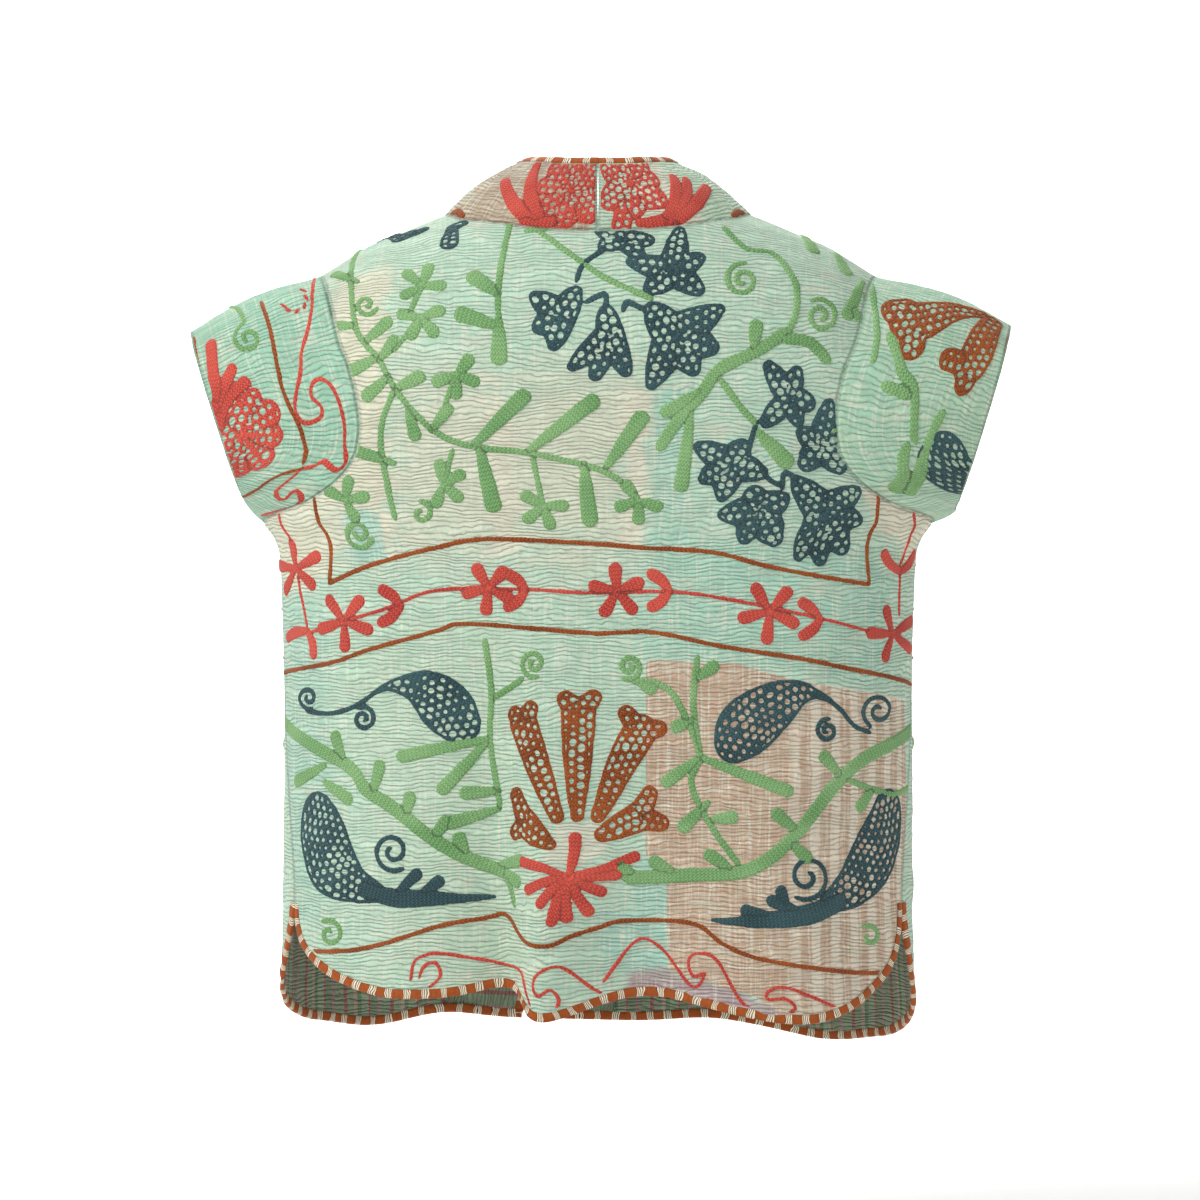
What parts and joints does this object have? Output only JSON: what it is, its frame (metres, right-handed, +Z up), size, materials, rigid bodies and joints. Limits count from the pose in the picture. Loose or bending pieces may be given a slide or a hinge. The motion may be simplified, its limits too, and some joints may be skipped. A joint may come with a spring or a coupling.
{
  "type": "short-sleeved embroidered waistcoat",
  "caption": "Open-fronted, hip-length quilted cotton waistcoat with cap sleeves, a standing neckband, side vents and chain-stitch embroidery, hollow as when worn.",
  "frame": {"origin": "midway between the two neck points, on the ridge of the shoulders, where the wearer's shoulders carry it", "axes": "+Z up, the wearer faces -Y, +X to the wearer's left"},
  "size_m": [0.705, 0.2733, 0.7665],
  "materials": {
    "quilted_cotton": "matt hand-quilted cotton",
    "neckband_cotton": "matt striped quilted cotton",
    "striped_binding": "woven striped cotton tape"
  },
  "bodies": {
    "root": {"back_panel": "quilted_cotton", "left_front_panel": "quilted_cotton", "right_front_panel": "quilted_cotton", "left_sleeve": "quilted_cotton", "right_sleeve": "quilted_cotton", "left_neckband": "neckband_cotton", "right_neckband": "neckband_cotton", "left_neck_binding": "striped_binding", "right_neck_binding": "striped_binding", "left_hem_binding": "striped_binding", "right_hem_binding": "striped_binding", "back_hem_binding": "striped_binding"}
  },
  "joints": []
}
